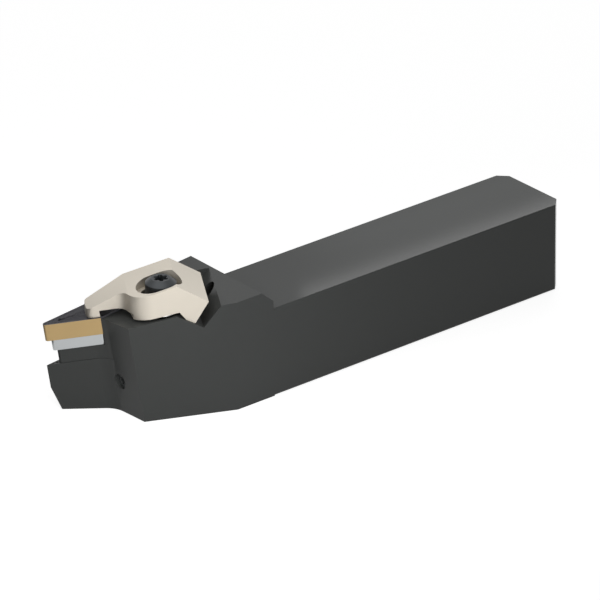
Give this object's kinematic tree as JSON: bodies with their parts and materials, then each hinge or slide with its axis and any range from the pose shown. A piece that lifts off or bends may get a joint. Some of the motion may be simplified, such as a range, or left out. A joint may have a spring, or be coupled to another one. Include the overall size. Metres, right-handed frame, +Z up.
{
  "type": "turning tool holder",
  "caption": "External turning tool holder: a square shank with an angled head, where a top clamp holds a slim rhombic cutting insert on a shim, with coolant drilled through the shank.",
  "frame": {"origin": "underside of the shank, at mid-width, where the head begins", "axes": "+X along the shank to its rear end, +Y to the cutting side, +Z up, away from the seating face"},
  "size_m": [0.15, 0.032, 0.038],
  "materials": {
    "body_steel": "dark grey surface-treated steel, satin",
    "coated_carbide": "gold coating on the flanks, near-black on the top",
    "bare_carbide": "ground bare carbide",
    "clamp_steel": "satin nickel",
    "screw_steel": "dark oxide",
    "spring_steel": "bright wire"
  },
  "bodies": {
    "holder": {"holder_body": "body_steel", "insert": "coated_carbide", "shim": "bare_carbide", "shim_screw": "screw_steel", "clamp_spring": "spring_steel", "coolant_plug": "screw_steel"},
    "clamp": {"clamp": "clamp_steel"},
    "screw": {"clamp_screw": "screw_steel"}
  },
  "joints": [
    {"name": "clamp_lift", "type": "slide", "parent": "holder", "child": "clamp", "axis": [0, 0, 1], "range_m": [0, 0.003], "deforming": ["clamp_spring"]},
    {"name": "clamp_screw_turn", "type": "hinge", "parent": "clamp", "child": "screw", "pos_m": [-0.01424, 0.00044, 0.03], "axis": [0, 0, 1], "range_deg": [0, 1080]}
  ],
  "couplings": [
    {"joint": "clamp_screw_turn", "follows": "clamp_lift", "rad_per_m": 6283}
  ]
}
